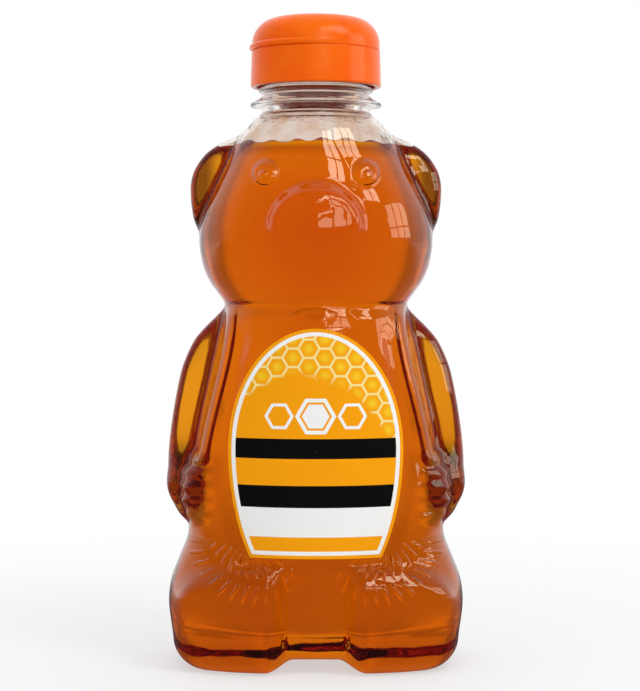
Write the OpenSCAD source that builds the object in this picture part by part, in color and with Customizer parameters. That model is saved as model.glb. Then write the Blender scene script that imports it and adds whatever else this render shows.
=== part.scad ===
// Squeeze bottle in the shape of a seated bear, with its honey, its label
// and a screw closure with a flip-top lid. Millimetres, +Z up, the face looks along -Y.
// The origin is on the ground, midway between the snout's tip and the back of the head,
// and the neck's axis stands a little behind it.

/* [Bear] */
// Height of the bear from the ground to the root of its neck finish
body_h = 133.2; // [125:0.2:142]
// Width across the paws, the widest place
body_w = 72.8; // [68:0.2:78]
// Depth of the torso, front to back
body_d = 43; // [41:0.2:47]
// Wall of the blown bottle
wall = 0.9; // [0.7:0.05:1.2]
// How far the feet stand proud of the belly
foot_out = 4.2; // [3:0.1:5.5]
// How far the snout stands proud of the face
snout_out = 3; // [2:0.1:4]
// How far the eyes stand proud of the face
eye_out = 1.3; // [0.8:0.1:1.6]
// Height of the arch under the belly, between the feet
arch_h = 3; // [2:0.1:4]
// Rise of the base inside its standing pads
push_up = 2.2; // [1.5:0.1:3]

/* [Neck finish] */
// Diameter of the mouth
mouth_d = 21.6; // [20.4:0.1:22]
// Diameter of the neck above its carrying ring
neck_d = 25.2; // [24.8:0.1:25.4]
// Diameter across the thread
thread_d = 27.4; // [27:0.1:27.6]
// Diameter of the carrying ring
ring_d = 32; // [30:0.2:34]
// Diameter of the short neck below the ring
throat_d = 26.4; // [26:0.2:27.2]
// Height of the short neck below the ring
throat_h = 1.8; // [1.4:0.1:3]
// Height from the ring's underside to the rim
finish_h = 11.2; // [11:0.1:12.4]
// Rise of the thread in one turn
pitch = 3; // [2.8:0.1:3.2]
// Turns of thread on the neck
turns = 1.2; // [1:0.05:1.25]

/* [Honey] */
// Height of the honey's surface above the ground
fill_z = 126.6; // [115:0.2:129]

/* [Label] */
// Width of the label
label_w = 41.5; // [36:0.5:43]
// Height of the label
label_h = 54; // [48:0.5:55]
// Height of the label's straight lower edge above the ground
label_z = 27.5; // [26:0.5:29]
// Thickness of the label
label_t = 0.12; // [0.08:0.02:0.2]
// Radius of the curved panel that carries the label
panel_r = 42; // [38:0.5:60]

/* [Closure] */
// How far round from the bear's face to its right side the thumb lip stands, in degrees
closure_turn = 60; // [0:5:90]
// Outer diameter of the closure at its foot
skirt_d = 31.8; // [31.4:0.1:33]
// Height of the closure base, foot to parting line
base_h = 8.8; // [8.5:0.1:9]
// Height of the flip lid above the parting line
lid_h = 8.6; // [8:0.1:10]
// Wall of the closure
cap_wall = 1.4; // [1.2:0.05:1.45]
// Bore of the pouring spout
orifice_d = 4.4; // [3:0.1:5]
// Height of the spout above the deck
spout_h = 3; // [2.4:0.1:3.6]
// Thickness of the sealing gasket
gasket_t = 0.6; // [0.4:0.05:0.8]
// Width of the film hinge
hinge_w = 7; // [6:0.5:8]

/* [Hidden] */

$fn = 96;

// Clearances
seat_gap = 0.02;   // between pieces that bear on each other
label_gap = 0.03;  // between the label and the panel behind it
honey_gap = 0.06;  // between the honey and the wall that holds it
flank_gap = 0.12;  // between the thread flanks that carry the closure
plug_gap = 0.25;   // round the lid's plug in the spout
lid_gap = 0.15;    // along the parting line
hinge_gap = 0.15;  // round the hinge's bend line
gasket_gap = 0.25; // round the gasket in the skirt

// Grid of the blown surface
columns = 56;       // round the body
front_crowd = 0.15; // how much closer the columns lie at the front than at the back
crowd = 5;          // degrees by which they close up on the face, the sides and the back
foot_round = 6;     // height of the rounding at the ground
foot_inset = 6.5;   // how far that rounding draws in
pad_share = 0.62;   // where the standing pads begin, as a share of the base's radius
pad_step = 0.06;    // width of the step onto them, as a share too

// Stations of the trunk: height, half width, front and back half depth as hundredths
// of body_h, body_w / 2, body_d / 2 and body_d / 2, then the squareness of the section
stations = [
    [ 4.5,  95.0,  98, 102, 2.7], [ 10.5,  98.9, 100, 105, 2.7], [ 15.0,  97.4, 100, 106, 2.7],
    [19.5,  91.4, 100, 104, 2.7], [ 23.7,  85.8, 100, 103, 2.7], [ 34.0,  83.0, 100, 101, 2.7],
    [42.0,  79.0, 100, 100, 2.7], [ 50.5,  72.5, 100,  98, 2.7], [ 58.5,  65.9,  99,  94, 2.6],
    [63.0,  62.1,  95,  89, 2.4], [ 65.3,  61.0,  90,  86, 2.3], [ 67.5,  66.2,  96,  93, 2.2],
    [69.8,  72.0, 103, 100, 2.2], [ 73.0,  76.4, 109, 106, 2.2], [ 77.3,  78.3, 112, 109, 2.2],
    [81.8,  75.3, 108, 106, 2.2], [ 85.0,  70.6, 104, 102, 2.2], [ 88.6,  64.3,  97,  96, 2.2],
    [92.0,  58.5,  90,  88, 2.1], [ 95.3,  52.8,  82,  81, 2.0], [ 97.2,  47.8,  77,  77, 2.0],
    [98.6,  42.6,  71,  71, 2.0], [100.0,  37.8,  62,  62, 2.0]
];
// Side fins, ear above and arm below: height, half width and half depth as hundredths
ear_fin = [
    [76.0, 68.0, 12], [78.5, 77.0, 20], [80.5, 81.4, 25], [83.0, 83.4, 28], [85.5, 84.2, 30],
    [87.5, 84.0, 30], [89.7, 81.9, 28], [91.8, 77.2, 25], [93.2, 72.5, 21], [94.4, 66.0, 17],
    [95.6, 56.0, 13], [97.0, 40.0, 10]
];
arm_fin = [
    [22.0, 72.0, 18], [24.4, 82.0, 30], [26.7, 91.5, 38], [29.0, 96.3, 43], [31.2, 98.6, 45],
    [34.0, 99.7, 45], [37.0, 99.7, 41], [40.5, 98.8, 36], [45.0, 96.6, 34], [50.5, 93.0, 33],
    [54.4, 89.3, 31], [58.7, 82.0, 27], [61.0, 75.0, 24], [63.2, 66.5, 19], [65.3, 58.0, 15],
    [68.0, 45.0, 11]
];
fin_square = 2.6;  // squareness of the fins' section
fin_blend = 1;     // softness of the join between fin and trunk
arms_below = 71;   // height in hundredths that parts the arms from the ears
root_above = 99;   // height in hundredths where the shoulder turns into the neck's root

// Places on the bear, in shares of its half width and height
snout_at = [0, 0.787];
snout_size = [0.33, 0.086];
nose_at = [0, 0.832];
nose_size = [0.088, 0.017];
nose_out = 0.9;
eye_at = [0.325, 0.887];
eye_r = 3;
paw_angle = 74;    // round from the face
paw_at = 0.322;
paw_size = [17, 0.07];
paw_out = 2.4;
foot_at = 0.21;    // top of the foot
foot_soft = 0.06;  // height over which the foot runs out
foot_drop = 0.018; // how fast its top falls away to the side
foot_flat = 17;    // how far out its top stays level
foot_side = 10;    // width over which it runs out at the hip
channel_hw = 7;    // half width of the belly between the feet
channel_side = 3.5;
arch_from = 4;     // how far from the axis the arch starts to rise
arch_run = 8;      // and over what length
arch_back = 0.3;   // its height behind, as a share of that in front

// Heights up the neck
ring_t = 3.1;      // from the ring's underside to the top of its cone
ring_lip = 0.7;    // height of the ring's edge
ring_edge = 0.2;   // its bevel
ring_foot = 0.6;   // bevel where the cone meets the neck
root_fillet = 0.5; // step where the neck rises out of the shoulder
root_sunk = 0.3;   // how far the neck's foot reaches into the shoulder
root_r = throat_d / 2 + root_fillet;
root_spread = 1.006; // keeps the shoulder's corners outside the neck's root
ring_z = body_h + throat_h;
rim_z = ring_z + finish_h;
rim_round = 0.4;
bead_d = thread_d + 0.6;
bead_h = 1.1;
bead_z = ring_z + ring_t + 0.3;

// Thread, shared by the neck and the closure
thread_foot = 1.4;
thread_crest = 0.6;
thread_steps = 24; // sections in one turn
thread_sunk = 0.2; // how far its foot reaches into the wall
thread_fade = 30;  // degrees over which each end runs out
thread_below_rim = 0.9;
thread_run = 360 * turns;
thread_z = rim_z - thread_below_rim - thread_foot / 2 - pitch * turns;

// Heights up the closure
gasket_in = 1;     // how much narrower the gasket's hole is than the mouth
gasket_z = rim_z + seat_gap;
deck_z = gasket_z + gasket_t + seat_gap;
deck_t = 1.5;
deck_top = deck_z + deck_t;
deck_sunk = 0.2;   // how far the deck lies below the parting line
part_z = deck_top + deck_sunk;
skirt_z = part_z - base_h;
lid_z = part_z + lid_gap;
top_z = part_z + lid_h;
skirt_round = 0.5;
draft = 0.25;      // how much narrower the base is at the parting line
skirt_bore_d = skirt_d - 2 * cap_wall;
cap_thread_d = neck_d + 0.7;
spout_d = orifice_d + 2.6;
spout_top = deck_top + spout_h;

// Lid
lid_r = skirt_d / 2 - draft - 0.1;
lid_round = 6.2;
lid_crown = 0.7;   // rise of the lid's top inside its rounding
crown_from = 82;   // degrees where the rounding passes into the crown
lip_h = 1.3;
lip_shift = 0.95;  // how far the lip's circle lies off the axis
lip_under = 0.15;  // how much smaller than the lid it is
plug_in = 1.2;     // how far the plug reaches into the spout
plug_wall = 0.7;
plug_d = orifice_d - 2 * plug_gap;

// Hinge
hinge_t = 0.6;     // thickness of the film and of the lid's ear
hinge_out = 1;     // from the closure's flat back to the bend line
hinge_in = 1.15;   // how deep that flat is cut
hinge_flat = skirt_d / 2 - hinge_in;
hinge_y = hinge_flat + hinge_out;
hinge_z = part_z - hinge_t / 2;
ear_z = hinge_z + hinge_t / 2 + hinge_gap;
ear_root = 0.5;    // how far the lid's ear reaches into its wall
flat_low = 1.6;    // how far the flat reaches below the parting line, clear of the opened lid's ear
flat_high = 2.6;   // and above it
flat_side = 1;     // and past the hinge on each side

// Helpers
function sq(x) = x * x;
function clamp01(x) = max(0, min(1, x));
function smooth(x) = let(t = clamp01(x)) t * t * (3 - 2 * t);
function mix(a, b, t) = a + (b - a) * t;
// Larger of two values, rounded where they meet
function blend_max(a, b, k) = (a + b + sqrt(sq(a - b) + k * k)) / 2;
// A raised patch: 1 inside the ellipse of the given size round c, 0 outside it
function patch(p, c, size, soft) =
    smooth((1 - norm([(p.x - c.x) / size.x, (p.y - c.y) / size.y])) / soft);

// The stretch of a table that holds t
function stretch(t, table, i = 0) =
    i < len(table) - 2 && t > table[i + 1][0] ? stretch(t, table, i + 1) : i;
function slope(table, i, col) =
    let(a = table[max(i - 1, 0)], b = table[min(i + 1, len(table) - 1)])
    (b[col] - a[col]) / (b[0] - a[0]);
// A table's column as a smooth curve over its first column
function curve(t, table, col) =
    let(i = stretch(t, table), a = table[i], b = table[i + 1], h = b[0] - a[0],
        u = clamp01((t - a[0]) / h), m0 = slope(table, i, col) * h, m1 = slope(table, i + 1, col) * h)
    (2 * u * u * u - 3 * u * u + 1) * a[col] + (u * u * u - 2 * u * u + u) * m0
    + (3 * u * u - 2 * u * u * u) * b[col] + (u * u * u - u * u) * m1;

// Distance from the axis to a rounded oblong of half width a and half depth b
function oblong(s, c, a, b, n) = pow(pow(abs(s) / a, n) + pow(abs(c) / b, n), -1 / n);

// The label's outline: half its width at height u above its lower edge
label_low = label_h * 0.47;  // from the lower edge up to the widest place
label_deep = label_h * 0.71; // half height of the ellipse that its lower part follows
function label_half(u) =
    let(v = u - label_low, b = v < 0 ? label_deep : label_h - label_low)
    label_w / 2 * sqrt(max(0, 1 - sq(v / b)));

// The panel behind the label: a shallow cylinder, flush with the belly
panel_y = body_d / 2;
panel_margin = 1.6; // how far it shows above and below the label
panel_side = 5.5;   // and beside it, more than the surface's columns lie apart
panel_edge = 2.2;   // width over which it runs into the belly
function panel(c) = let(d = panel_r - panel_y) -c * d + sqrt(sq(c * d) - d * d + panel_r * panel_r);
function on_panel(x, z) =
    let(u = z - label_z, half = label_half(clamp01(u / label_h) * label_h), rim = panel_margin + panel_edge)
    smooth((half + panel_side + panel_edge - x) / panel_edge)
    * smooth((u + rim) / panel_edge) * smooth((label_h + rim - u) / panel_edge);

// The feet: full from the belly channel to the hip, under a curved top
function foot(x, z) =
    let(top = foot_at * body_h - foot_drop * sq(max(0, x - foot_flat)))
    smooth((x - channel_hw) / channel_side) * smooth((top - z) / (foot_soft * body_h))
    * smooth((body_w / 2 - x) / foot_side);

// Distance from the axis to the outside of the bear, a degrees round from its face, at height z
function bear(a, z) =
    let(s = sin(a), c = cos(a), t = 100 * z / body_h, hw = body_w / 200, hd = body_d / 200,
        main = oblong(s, c, curve(t, stations, 1) * hw, curve(t, stations, c > 0 ? 2 : 3) * hd,
            curve(t, stations, 4)),
        fins = t > arms_below ? ear_fin : arm_fin,
        fin = oblong(s, c, curve(t, fins, 1) * hw, curve(t, fins, 2) * hd, fin_square),
        front = c > 0 ? 1 : 0,
        x = abs(main * s),
        p = [x / (body_w / 2), z / body_h],
        flat = front * on_panel(x, z),
        trunk = mix(main, panel(c), flat),
        relief = snout_out * patch(p, snout_at, snout_size, 0.4)
            + nose_out * patch(p, nose_at, nose_size, 0.6)
            + eye_out * patch(p, eye_at, [2 * eye_r / body_w, eye_r / body_h], 0.7)
            + foot_out * foot(x, z) * (1 - flat)
            + paw_out * patch([abs(a), p.y], [paw_angle, paw_at], paw_size, 0.8))
    mix(blend_max(trunk, fin, fin_blend * (1 - flat)) + front * relief, root_r * root_spread,
        smooth((t - root_above) / (100 - root_above)));

// The tip of the snout and the back of the head set how far the neck's axis stands from the origin
function reach(a) = max([for (z = body_rows) bear(a, z)]);
module placed() {
    translate([0, (reach(0) - reach(180)) / 2, 0]) children();
}

// Columns lie closer together at the face
function column_angle(i) =
    let(u = 2 * i / columns - 1, w = 180 * sign(u) * mix(abs(u), u * u, front_crowd))
    w - crowd * sin(4 * w);

// The arch between the feet, high in front and low behind
function arch(x, y) =
    arch_h * (1 - smooth((abs(x) - channel_hw) / channel_side))
    * (y < 0 ? 1 : arch_back) * smooth((abs(y) - arch_from) / arch_run);

// Rows: the base, the rounding at the ground, then up the body
base_rows = [0.2, 0.4, pad_share, pad_share + pad_step, 1];
round_rows = [15, 35, 60, 80];
body_rows = concat(
    [for (z = [foot_round : 3 : 0.225 * body_h]) z],
    [for (z = [0.24 * body_h : 4.4 : 0.615 * body_h]) z],
    [for (t = [0.63, 0.643, 0.653, 0.663, 0.676]) t * body_h],
    [for (z = [0.693 * body_h : 2.6 : 0.975 * body_h]) z],
    [for (t = [0.984, 0.993, 1]) t * body_h]
);
function base_point(a, k) =
    let(edge = (bear(a, foot_round) - foot_inset) * k, x = edge * sin(a), y = -edge * cos(a))
    [x, y, max(push_up * smooth((pad_share + pad_step - k) / 0.5), arch(x, y))];
function round_point(a, w) =
    let(r = bear(a, foot_round) - foot_inset * (1 - sin(w)), x = r * sin(a), y = -r * cos(a))
    [x, y, foot_round * (1 - cos(w)) + arch(x, y) * cos(w)];
function body_point(a, z) = let(r = bear(a, z)) [r * sin(a), -r * cos(a), z];

angles = [for (i = [0 : columns - 1]) column_angle(i)];
outer_rows = concat(
    [for (k = base_rows) [for (a = angles) base_point(a, k)]],
    [for (w = round_rows) [for (a = angles) round_point(a, w)]],
    [for (z = body_rows) [for (a = angles) body_point(a, z)]]
);
rows = len(outer_rows);
middle = [0, 0, push_up];

// All rows but the last, moved into the wall by t, square to the surface
function inward(t) =
    [for (j = [0 : rows - 2]) [for (i = [0 : columns - 1])
        let(up = outer_rows[j + 1][i] - outer_rows[max(j - 1, 0)][i],
            round = outer_rows[j][(i + 1) % columns] - outer_rows[j][(i + columns - 1) % columns],
            n = cross(round, up))
        outer_rows[j][i] - t * n / norm(n)]];
// The last row, level with the shoulder's top
function inner_top(t) = [for (a = angles) let(r = root_r * root_spread - t) [r * sin(a), -r * cos(a), body_h]];

// Faces of a skin whose rows start at point number first, seen from outside or, flipped, from inside
function skin(count, first, flip) = [
    for (j = [0 : count - 2]) for (i = [0 : columns - 1])
        let(a = first + j * columns + i, b = first + j * columns + (i + 1) % columns,
            c = b + columns, d = a + columns)
        each (flip ? [[a, b, c], [a, c, d]] : [[a, c, b], [a, d, c]])
];
function fan(centre, first, flip) = [
    for (i = [0 : columns - 1])
        let(a = first + i, b = first + (i + 1) % columns)
        flip ? [centre, b, a] : [centre, a, b]
];
// The level ring that joins the outer skin's last row to the inner one's
function ring(outer, inner) = [
    for (i = [0 : columns - 1])
        let(n = (i + 1) % columns)
        each [[outer + n, outer + i, inner + i], [outer + n, inner + i, inner + n]]
];

// The blown body: outer and inner skin in one closed surface, open at the shoulder
module shell() {
    inner_rows = concat(inward(wall), [inner_top(wall)]);
    points = [
        for (row = outer_rows) each row,
        for (row = inner_rows) each row,
        middle, middle + [0, 0, wall]
    ];
    n = rows * columns;
    polyhedron(points, concat(
        skin(rows, 0, false), fan(2 * n, 0, false),
        skin(rows, n, true), fan(2 * n + 1, n, true),
        ring(n - columns, 2 * n - columns)
    ), convexity = 8);
}

// Where a column of the given rows climbs past height z
function crossing(rows, i, z, j) =
    let(a = rows[j][i], b = rows[j + 1][i])
    b.z > z || j > len(rows) - 3 ? mix(a, b, (z - a.z) / (b.z - a.z)) : crossing(rows, i, z, j + 1);

// A helical ridge with a trapezoid section, from its foot at r0 to its crest at r1
function ridge_section(r0, r1) =
    let(p = [[r0, -thread_foot / 2], [r1, -thread_crest / 2], [r1, thread_crest / 2], [r0, thread_foot / 2]])
    r1 > r0 ? p : [p[3], p[2], p[1], p[0]];
module ridge(r0, r1, z, from, to) {
    steps = ceil((to - from) / 360 * thread_steps);
    points = [
        for (k = [0 : steps])
            let(a = mix(from, to, k / steps), e = smooth(min(a - from, to - a) / thread_fade))
            for (p = ridge_section(r0, mix(r0 + sign(r1 - r0) * thread_sunk * 0.5, r1, e)))
                [p.x * cos(a), p.x * sin(a), z + pitch * a / 360 + p.y]
    ];
    faces = [
        for (k = [0 : steps - 1]) for (e = [0 : 3])
            let(a = 4 * k + e, b = 4 * k + (e + 1) % 4)
            each [[a, b, b + 4], [a, b + 4, a + 4]]
    ];
    polyhedron(points, concat(faces, [[3, 2, 1], [3, 1, 0]],
        [[4 * steps, 4 * steps + 1, 4 * steps + 2], [4 * steps, 4 * steps + 2, 4 * steps + 3]]), convexity = 6);
}

// A quarter of a circle between two directions, as points of a profile
function arc(c, r, from, to, steps) =
    [for (k = [0 : steps]) let(a = mix(from, to, k / steps)) c + r * [cos(a), sin(a)]];

// Neck above the shoulder: root, carrying ring, bead and mouth
module neck_finish() {
    throat_r = throat_d / 2;
    neck_r = neck_d / 2;
    bead_r = bead_d / 2;
    ring_r = ring_d / 2;
    mouth_r = mouth_d / 2;
    rotate_extrude() polygon(concat(
        [[mouth_r, body_h - root_sunk], [root_r, body_h - root_sunk], [root_r, body_h]],
        arc([root_r, body_h + root_fillet], root_fillet, 270, 180, 4),
        [[throat_r, ring_z], [ring_r - ring_edge, ring_z], [ring_r, ring_z + ring_edge],
         [ring_r, ring_z + ring_lip], [ring_r - 2 * ring_edge, ring_z + ring_lip + ring_edge],
         [neck_r + ring_foot, ring_z + ring_t - ring_foot], [neck_r, ring_z + ring_t]],
        [[neck_r, bead_z]],
        arc([bead_r - bead_h / 2, bead_z + bead_h / 2], bead_h / 2, 270, 450, 8),
        [[neck_r, bead_z + bead_h], [neck_r, rim_z - rim_round]],
        arc([neck_r - rim_round, rim_z - rim_round], rim_round, 0, 90, 4),
        [[mouth_r, rim_z]]
    ));
}

module bottle() {
    color([0.93, 0.9, 0.86, 0.4]) placed() union() {
        shell();
        neck_finish();
        ridge(neck_d / 2 - thread_sunk, thread_d / 2, thread_z, 0, thread_run);
    }
}

// Honey: fills the bottle up to fill_z
module honey() {
    all_rows = concat(inward(wall + honey_gap), [inner_top(wall + honey_gap)]);
    kept = len([for (z = body_rows) if (z < fill_z - 1) z]) + len(base_rows) + len(round_rows);
    surface = [for (i = [0 : columns - 1]) crossing(all_rows, i, fill_z, kept - 1)];
    points = concat([for (j = [0 : kept - 1]) each all_rows[j]], surface,
        [middle + [0, 0, wall + honey_gap], [0, 0, fill_z]]);
    n = (kept + 1) * columns;
    color([0.85, 0.38, 0.02]) placed() polyhedron(points, concat(
        skin(kept + 1, 0, false), fan(n, 0, false), fan(n + 1, kept * columns, true)
    ), convexity = 8);
}

// Label: a thin curved sheet cut to an egg shape with a straight lower edge
module front_label() {
    steps = 20;
    side = [for (k = [0 : steps]) let(u = label_h * sin(90 * k / steps)) [label_half(u), u]];
    other = [for (k = [steps - 1 : -1 : 0]) [-side[k].x, side[k].y]];
    d = panel_r - panel_y;
    color([1, 0.65, 0.05]) placed() translate([0, 0, label_z]) intersection() {
        translate([0, 0, -1]) difference() {
            translate([0, d, 0]) cylinder(r = panel_r + label_gap + label_t, h = label_h + 2, $fn = 240);
            translate([0, d, -1]) cylinder(r = panel_r + label_gap, h = label_h + 4, $fn = 240);
        }
        rotate([90, 0, 0]) linear_extrude(panel_y + 2) polygon(concat(side, other));
    }
}

// Everything on the neck is turned so that its thumb lip stands towards one side
module turned() {
    rotate([0, 0, -closure_turn]) children();
}

// Gasket: a foam ring between the neck's rim and the closure's deck
module rim_gasket() {
    color([0.96, 0.95, 0.92]) placed() translate([0, 0, gasket_z]) difference() {
        cylinder(d = skirt_bore_d - 2 * gasket_gap, h = gasket_t);
        translate([0, 0, -1]) cylinder(d = mouth_d - gasket_in, h = gasket_t + 2);
    }
}

// The flat back of the closure that leaves room for the hinge
module back_cut() {
    w = hinge_w + 2 * flat_side;
    translate([-w / 2, hinge_flat, part_z - flat_low]) cube([w, skirt_d / 2, flat_low + flat_high]);
}

// Closure base: threaded skirt, deck and pouring spout
module closure_base() {
    skirt_r = skirt_d / 2;
    bore_r = skirt_bore_d / 2;
    ramp = thread_drop();
    from = (skirt_z + skirt_round + thread_foot / 2 - thread_z + ramp) / pitch * 360;
    color([1, 0.4, 0.02]) placed() union() {
        turned() difference() {
            rotate_extrude() polygon(concat(
                [[bore_r, skirt_z]],
                arc([skirt_r - skirt_round, skirt_z + skirt_round], skirt_round, 270, 360, 4),
                [[skirt_r - draft, part_z], [skirt_r - draft - cap_wall, part_z],
                 [skirt_r - draft - cap_wall, deck_top], [spout_d / 2, deck_top], [spout_d / 2, spout_top],
                 [orifice_d / 2, spout_top], [orifice_d / 2, deck_z], [bore_r, deck_z]]
            ));
            back_cut();
        }
        ridge(bore_r + thread_sunk, cap_thread_d / 2, thread_z - ramp, from, from + 360);
    }
}
// How far the closure's ridge lies below the neck's, so that their flanks meet when it is tight
function thread_drop() =
    let(n0 = neck_d / 2, n1 = thread_d / 2, c0 = skirt_bore_d / 2, c1 = cap_thread_d / 2)
    flank_gap + max(ridge_half(c1, n0, n1) + thread_crest / 2, thread_crest / 2 + ridge_half(n1, c0, c1));
function ridge_half(r, r0, r1) = mix(thread_foot, thread_crest, (r - r0) / (r1 - r0)) / 2;

// Outline of the lid, from the parting line to the axis
function dome(r, top, round) =
    let(c = [r - round, top - lid_crown - round], side = arc(c, round, 0, crown_from, 10),
        last = side[len(side) - 1])
    concat([[r, lid_z]], side,
        [for (k = [5 : -1 : 0]) [last.x * k / 6, top - (top - last.y) * sq(k / 6)]]);

// Flip lid: hollow dome with its thumb lip, its plug and its half of the hinge
module flip_lid() {
    bore = lid_r - cap_wall;
    ceiling = top_z - cap_wall;
    color([1, 0.4, 0.02]) placed() turned() difference() {
        union() {
            rotate_extrude() polygon(concat(dome(lid_r, top_z, lid_round), [[0, lid_z]]));
            translate([0, -lip_shift, lid_z]) rotate_extrude() polygon(concat(
                [[0, 0]],
                arc([lid_r - lip_under - lip_h / 2, lip_h / 2], lip_h / 2, 270, 450, 8),
                [[0, lip_h]]
            ));
            lid_ear();
        }
        difference() {
            translate([0, 0, -0.01]) rotate_extrude() polygon(concat(
                dome(bore, ceiling, lid_round - cap_wall), [[0, lid_z]]
            ));
            difference() {
                translate([0, 0, spout_top - plug_in]) cylinder(d = plug_d, h = top_z - spout_top);
                translate([0, 0, spout_top - plug_in - 1]) cylinder(d = plug_d - 2 * plug_wall, h = 3);
            }
        }
        difference() {
            back_cut();
            lid_ear();
        }
    }
}
// The lid's half of the hinge
module lid_ear() {
    translate([-hinge_w / 2, hinge_flat - ear_root, ear_z])
        cube([hinge_w, ear_root + hinge_out + hinge_t / 2, hinge_t]);
}

// Film hinge: a web from the base's flat back to the rounded bend line
module film_hinge() {
    color([1, 0.45, 0.08]) placed() turned() union() {
        translate([-hinge_w / 2, hinge_flat + seat_gap, hinge_z - hinge_t / 2])
            cube([hinge_w, hinge_out - seat_gap, hinge_t]);
        translate([-hinge_w / 2, hinge_y, hinge_z]) rotate([0, 90, 0]) cylinder(d = hinge_t, h = hinge_w, $fn = 32);
    }
}

bottle();
honey();
front_label();
rim_gasket();
closure_base();
flip_lid();
film_hinge();
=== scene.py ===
"""A clear bear-shaped squeeze bottle full of honey, with its label and orange flip-top closure.

Lengths inside the shape functions are millimetres, as on the bottle's drawing; MM turns them into
metres where a mesh is made. The bear looks along -Y and stands on z = 0.
"""
import math

import bpy
import numpy as np
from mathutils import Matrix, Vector


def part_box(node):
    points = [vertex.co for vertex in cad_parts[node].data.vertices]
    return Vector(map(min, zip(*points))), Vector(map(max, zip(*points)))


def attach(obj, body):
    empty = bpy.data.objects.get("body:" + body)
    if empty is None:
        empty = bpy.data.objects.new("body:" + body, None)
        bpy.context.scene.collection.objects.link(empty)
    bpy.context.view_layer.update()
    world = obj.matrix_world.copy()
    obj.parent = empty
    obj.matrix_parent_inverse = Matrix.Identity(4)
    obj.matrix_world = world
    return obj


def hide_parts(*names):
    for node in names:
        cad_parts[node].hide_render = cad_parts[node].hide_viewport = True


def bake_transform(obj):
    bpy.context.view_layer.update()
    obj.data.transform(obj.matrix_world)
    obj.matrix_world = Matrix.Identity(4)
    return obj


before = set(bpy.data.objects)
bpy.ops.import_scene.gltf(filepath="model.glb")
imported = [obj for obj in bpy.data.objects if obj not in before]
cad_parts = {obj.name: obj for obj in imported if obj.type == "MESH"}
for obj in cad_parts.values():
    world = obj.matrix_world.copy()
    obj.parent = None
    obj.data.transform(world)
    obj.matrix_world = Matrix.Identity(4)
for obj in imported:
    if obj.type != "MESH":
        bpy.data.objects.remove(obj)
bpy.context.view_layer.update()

MM = 0.001


def span(node):
    """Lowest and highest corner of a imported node, in millimetres."""
    low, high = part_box(node)
    return np.array(low) / MM, np.array(high) / MM


# Sizes read from the frame
bottle_low, bottle_high = span("bottle")
lid_low, lid_high = span("flip_lid")
label_low, label_high = span("front_label")
gasket_low, gasket_high = span("rim_gasket")
base_low = span("closure_base")[0]
honey_high = span("honey")[1]
NECK_Y = (gasket_low[1] + gasket_high[1]) / 2
RIM_Z = bottle_high[2]
FILL_Z = honey_high[2]
SKIRT_Z = base_low[2]
TOP_Z = lid_high[2]
LID_Z = lid_low[2]
LABEL_Z = label_low[2]
LABEL_H = label_high[2] - label_low[2]
LABEL_W = label_high[0] - label_low[0]

# Sizes of the bottle, as on its drawing; the arm tubes stand out of its width on both sides
TUBES_OUT = 0.28
BODY_H = 133.2
BODY_W = bottle_high[0] - bottle_low[0] - TUBES_OUT
BODY_D = 42.99
WALL = 0.9
PUSH_UP = 2.2
FOOT_ROUND = 6.0
FOOT_INSET = 6.5
THROAT_R = 13.2
ROOT_R = 13.7
RING_R = 16.0
NECK_R = 12.6
THREAD_R = 13.7
MOUTH_R = 10.8
BEAD_R = 14.0
RING_Z = RIM_Z - 11.2

# The thread's ridge: climb of a turn, turns, half width, width of its slope, length of its end in
# turns, and how near to the wall's radius a point lies on the wall
PITCH = 3.0
TURNS = 1.2
RIDGE = 0.7
RIDGE_SLOPE = 0.4
RIDGE_END = 0.08
THREAD_TOP = RIM_Z - 1.6
ON_WALL = 0.02

# The label's panel is a cylinder whose axis lies behind the neck's; the label is widest at a share
# of its height, and its outline's lower ellipse is deeper than what shows of it
PANEL_R = 42.0
PANEL_AXIS = PANEL_R - BODY_D / 2
LABEL_BACK = 0.035
LABEL_MIDDLE = 0.09
LABEL_FRONT = 0.15
LABEL_WIDEST = 0.47 * LABEL_H
LABEL_BELOW = 0.71 * LABEL_H
LABEL_ABOVE = LABEL_H - LABEL_WIDEST

# The filling, a hair off the wall, and its top below the line that it climbs to
HONEY_GAP = 0.08
HONEY_TOP = FILL_Z - 1.5
HONEY_BASE = PUSH_UP + WALL + HONEY_GAP

# Places of the moulded details, across and up, which mesh and material share
EYE_X, EYE_Z = 11.8, 118.1
MARK_Z = 84.7
CHANNEL_X = 7.4
PAW_Z = 50.0
ARM_X, ARM_LEAN = 20.2, 7.3
ARM_TOP, ARM_RUN = 86.0, 42.0
TUBE_END_Z = 87.0
TUBE_SQUARE = 2.9
CREASE_OFF, CREASE_HALF = 3.4, 2.8
CREASE_TOP, CREASE_LOW, CREASE_FADE = 84.0, 44.0, 8.0

# Sizes of the closure
CLOSURE_TURN = 60.0
SKIRT_R = 15.9
DRAFT = 0.25
CAP_WALL = 1.4
PART_Z = LID_Z - 0.15
DECK_Z = gasket_high[2] + 0.02
DECK_TOP = DECK_Z + 1.5
SPOUT_R = 3.5
ORIFICE_R = 2.2
SPOUT_TOP = DECK_TOP + 3.0
LID_R = SKIRT_R - DRAFT - 0.1
HINGE_FLAT = SKIRT_R - 1.15
HINGE_Y = HINGE_FLAT + 1.0
HINGE_Z = PART_Z - 0.3
HINGE_W = 7.0
CLOSURE_COLS = 288

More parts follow.
